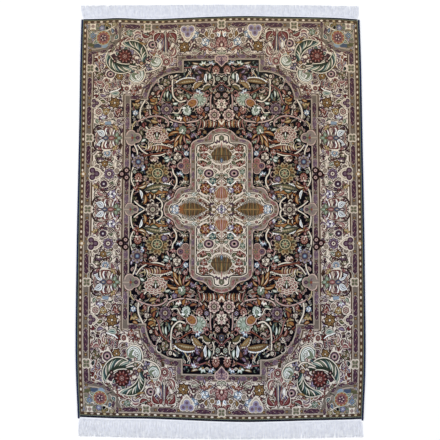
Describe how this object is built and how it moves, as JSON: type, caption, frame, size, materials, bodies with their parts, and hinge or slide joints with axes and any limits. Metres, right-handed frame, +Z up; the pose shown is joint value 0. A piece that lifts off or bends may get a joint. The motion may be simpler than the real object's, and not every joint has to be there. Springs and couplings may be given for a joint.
{
  "type": "persian rug",
  "caption": "Hand-knotted rectangular rug with a central medallion, overcast navy sides and a white warp fringe at both ends, lying flat.",
  "frame": {"origin": "on the floor under the middle of the whole piece, fringes included", "axes": "+Z up from the floor, +Y along the warps towards the end shown at the top, +X across the rug"},
  "size_m": [1.5361, 2.3236, 0.007],
  "materials": {
    "pile": "short dense knotted pile with a soft sheen, dark field, ivory medallion and border",
    "selvedge": "navy yarn overcast round the side warps",
    "end_band": "flat-woven navy band",
    "fringe": "fine off-white warp yarns, loose and silky"
  },
  "bodies": {
    "root": {"rug_body": "pile", "selvedge_left": "selvedge", "selvedge_right": "selvedge", "end_band_top": "end_band", "end_band_bottom": "end_band", "fringe_top": "fringe", "fringe_bottom": "fringe"}
  },
  "joints": []
}
